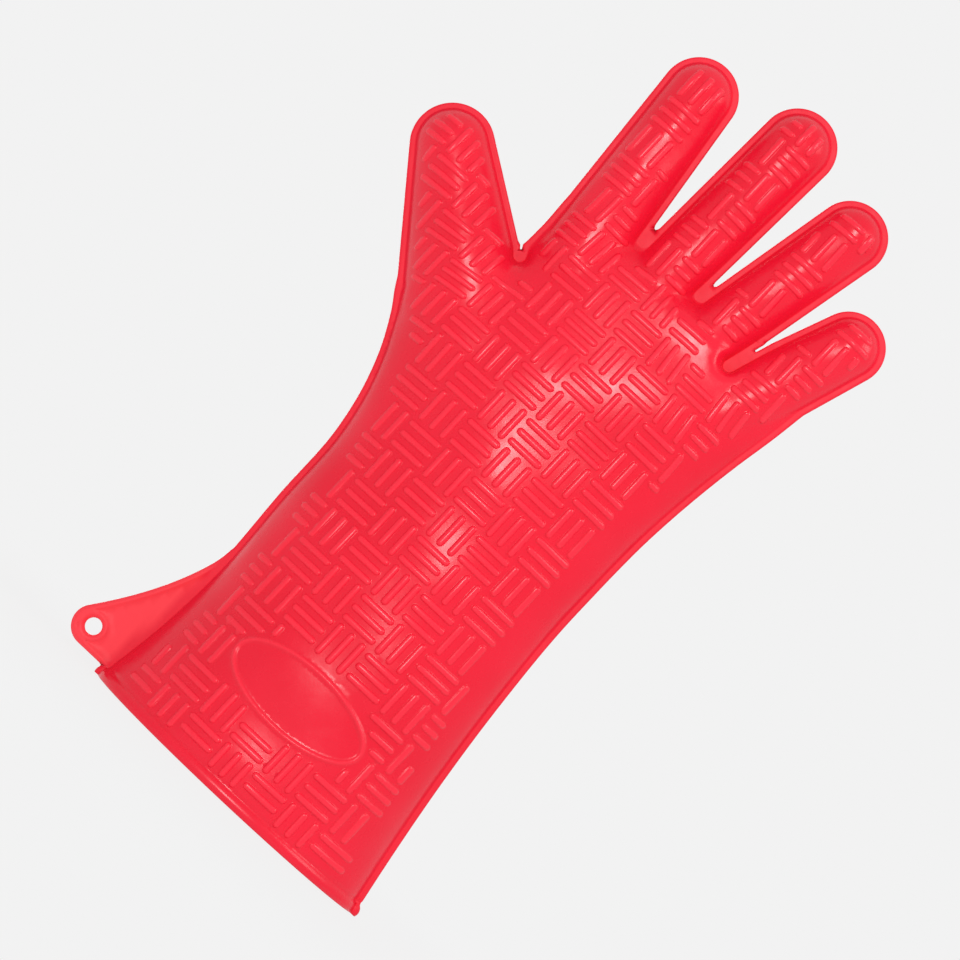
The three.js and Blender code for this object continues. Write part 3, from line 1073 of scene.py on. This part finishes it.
SKIN_COLOURS = srgb(229, 17, 45), srgb(237, 24, 52)  # they mix in soft clouds
# painted light: bar tops are coloured lighter than the skin between the bars, standing in for lit tops and
# shaded gaps
BAR_TOP_PAINTED_LIGHT = srgb(250, 42, 64)
TAB_COLOUR = srgb(252, 58, 70)  # the flat tab is lit through
GLOSS = (0.22, 0.31)  # roughness of the polished skin
SATIN = 0.25  # how much rougher the fin and the tab are
# Scales per metre of the noise behind clouds, dust, ripples and grain
CLOUDS, DUST, RIPPLES, GRAIN = 22, 160, 90, 1500


def set_inputs(node, **inputs):
    for key, value in inputs.items():
        node.inputs[key.replace("_", " ")].default_value = value
    return node


def map_range(tree, value, **ends):
    """A node that maps a value from one range, 0 to 1 unless told otherwise, to another."""
    node = set_inputs(tree.nodes.new("ShaderNodeMapRange"), **ends)
    tree.links.new(value, node.inputs["Value"])
    return node


def silicone():
    material = bpy.data.materials.new("red_silicone_skin")
    material.use_nodes = True
    tree = material.node_tree
    nodes, links = tree.nodes, tree.links
    shader = nodes["Principled BSDF"]

    def mixed(factor, a, b):
        mix = nodes.new("ShaderNodeMix")
        mix.data_type = "RGBA"
        links.new(factor, mix.inputs["Factor"])
        for socket, value in ((mix.inputs[6], a), (mix.inputs[7], b)):
            if isinstance(value, tuple):
                socket.default_value = value
            else:
                links.new(value, socket)
        return mix.outputs[2]

    def remapped(value, low, high, to_low, to_high):
        node = map_range(tree, value, From_Min=low, From_Max=high, To_Min=to_low, To_Max=to_high)
        return node.outputs["Result"]

    def noise(scale, detail, roughness=0.5):
        texture = nodes.new("ShaderNodeTexNoise")
        set_inputs(texture, Scale=scale, Detail=detail, Roughness=roughness)
        links.new(place, texture.inputs["Vector"])
        return texture.outputs["Fac"]

    def carried(name):
        attribute = nodes.new("ShaderNodeAttribute")
        attribute.attribute_name = name
        return attribute.outputs["Fac"]

    def bump(height, strength, distance):
        node = set_inputs(nodes.new("ShaderNodeBump"), Strength=strength, Distance=distance)
        links.new(height, node.inputs["Height"])
        return node

    place = nodes.new("ShaderNodeTexCoord").outputs["Object"]
    thin, bar = carried("thin"), carried("bar")
    skin = mixed(remapped(noise(CLOUDS, 3), 0.3, 0.7, 0, 1), *SKIN_COLOURS)
    # painted light and shade: the higher the relief, the lighter the colour, so bar tops look lit and the
    # skin between them shaded
    bar_tops_painted_lighter = mixed(remapped(bar, 0, 1, 0, 0.8), skin, BAR_TOP_PAINTED_LIGHT)
    links.new(mixed(remapped(thin, 1, 2, 0, 0.9), bar_tops_painted_lighter, TAB_COLOUR), shader.inputs["Base Color"])
    roughness = nodes.new("ShaderNodeMath")
    roughness.operation = "ADD"
    links.new(remapped(noise(DUST, 4, 0.6), 0.3, 0.7, *GLOSS), roughness.inputs[0])
    links.new(remapped(thin, 0, 1, 0, SATIN), roughness.inputs[1])
    links.new(roughness.outputs["Value"], shader.inputs["Roughness"])
    grain = bump(noise(GRAIN, 2), 0.12, 0.0002)
    ripple = bump(noise(RIPPLES, 2), 0.25, 0.0006)
    links.new(grain.outputs["Normal"], ripple.inputs["Normal"])
    links.new(ripple.outputs["Normal"], shader.inputs["Normal"])
    shader.inputs["Specular IOR Level"].default_value = 0.32
    return material


SILICONE = silicone()

# ---------------- the glove

rows, parts = cut_up(*whole_mesh())
made = {name: make_piece(name, rows, faces, ends) for name, faces, ends in parts}

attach(made["cuff_skin"], "cuff")
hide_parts("cuff_rim", "cuff_sleeve", "badge_ring")
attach(made["tab_skin"], "cuff")
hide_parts("hanging_tab")
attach(made["palm_skin"], "hand")
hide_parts("palm_shell")
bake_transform(made["wrist_skin"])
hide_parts("wrist_band")
for digit in digits:
    for segment, crease, (start, end) in zip(digit.segments, digit.creases, digit.bends):
        piece = made[f"{digit.name}_{segment}_skin"]
        body = f"{digit.name}_{segment}"
        tuple(point(digit.at(start)) * MM)
        tuple(point(digit.at(end)) * MM)
        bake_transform(piece)
        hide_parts(f"{digit.name}_{crease}_crease", body)

# ---------------- camera, light and floor

def aim(item, place, target, roll=0.0):
    """Points an object's -Z at the target, with its X level before the roll."""
    direction = (Vector(place) - Vector(target)).normalized()
    turn = direction.to_track_quat("Z", "Y").to_matrix().to_4x4()
    item.matrix_world = Matrix.Translation(Vector(place)) @ turn @ Matrix.Rotation(roll, 4, "Z")


CAMERA_ANGLE = math.radians(5)  # camera's turn towards +X
CAMERA_DROP = math.radians(3)  # and how far it stands below the level of its target
CAMERA_DISTANCE = 1.3
CAMERA_ROLL = math.radians(43)  # the glove points up and to the right
TARGET = Vector((0.0152, 0, 0.1559))
LENS = 125.6  # focal length and sensor in camera millimetres
SENSOR = 36
# Place right of, above and before the target as the camera sees it, size in metres, power in watts
LIGHTS = {
    "key": ((0.37, 0.54, 1.5), 0.36, 10.5),
    "fill": ((1.5, 0.1, 0.45), 0.7, 6),
    "back": ((-0.1, 0.3, -1.5), 0.9, 10.5),
}
AMBIENT = 0.6  # strength of the studio's light on the glove
REFLECTED = 0.85  # and of the studio as the glossy skin mirrors it
BACKGROUND = srgb(242, 242, 242)

camera = add_object("camera", bpy.data.cameras.new("camera"))
bpy.context.scene.camera = camera
camera.data.lens = LENS
camera.data.sensor_width = SENSOR
back = Vector((math.sin(CAMERA_ANGLE) * math.cos(CAMERA_DROP),
               -math.cos(CAMERA_ANGLE) * math.cos(CAMERA_DROP), -math.sin(CAMERA_DROP)))
aim(camera, TARGET + back * CAMERA_DISTANCE, TARGET, CAMERA_ROLL)


for name, (place, size, power) in LIGHTS.items():
    lamp = bpy.data.lights.new(name, "AREA")
    lamp.size = size
    lamp.energy = power
    aim(add_object(name, lamp), TARGET + camera.matrix_world.to_3x3() @ Vector(place), TARGET)


def studio():
    """A pale surround that lights the glove less than it shows, and is mirrored in between."""
    world = bpy.data.worlds.new("studio")
    world.use_nodes = True
    tree = world.node_tree
    sky = set_inputs(tree.nodes["Background"], Color=BACKGROUND)
    ray = tree.nodes.new("ShaderNodeLightPath").outputs
    mirrored = map_range(tree, ray["Is Glossy Ray"], To_Min=AMBIENT, To_Max=REFLECTED)
    strength = map_range(tree, ray["Is Camera Ray"])
    tree.links.new(mirrored.outputs["Result"], strength.inputs["To Min"])
    tree.links.new(strength.outputs["Result"], sky.inputs["Strength"])
    return world


bpy.context.scene.world = studio()
bpy.context.scene.view_settings.view_transform = "Standard"


def floor_material():
    """The backdrop's own tone, with a soft shadow only round the object."""
    material = bpy.data.materials.new("studio_floor")
    material.use_nodes = True
    nodes, links = material.node_tree.nodes, material.node_tree.links
    shade = set_inputs(nodes["Principled BSDF"], Base_Color=(0.8, 0.8, 0.8, 1), Roughness=0.9,
                       Specular_IOR_Level=0)
    glow = set_inputs(nodes.new("ShaderNodeEmission"), Color=BACKGROUND)
    place = nodes.new("ShaderNodeTexCoord").outputs["Object"]
    size = nodes.new("ShaderNodeVectorMath")
    size.operation = "LENGTH"
    links.new(place, size.inputs[0])
    near = map_range(material.node_tree, size.outputs["Value"], From_Min=SHADOW_REACH[0],
                     From_Max=SHADOW_REACH[1], To_Min=SHADOW, To_Max=0)
    near.interpolation_type = "SMOOTHSTEP"
    mix = nodes.new("ShaderNodeMixShader")
    links.new(near.outputs["Result"], mix.inputs["Fac"])
    links.new(glow.outputs["Emission"], mix.inputs[1])
    links.new(shade.outputs["BSDF"], mix.inputs[2])
    links.new(mix.outputs["Shader"], nodes["Material Output"].inputs["Surface"])
    return material


mesh = bpy.data.meshes.new("floor")
mesh.from_pydata([(-FLOOR, -FLOOR, 0), (FLOOR, -FLOOR, 0), (FLOOR, FLOOR, 0), (-FLOOR, FLOOR, 0)], [],
                 [(0, 1, 2, 3)])
mesh.materials.append(floor_material())
floor = add_object("floor", mesh)
floor.location.z = -FLOOR_GAP

# ---------------- a last update of the scene

bpy.context.view_layer.update()
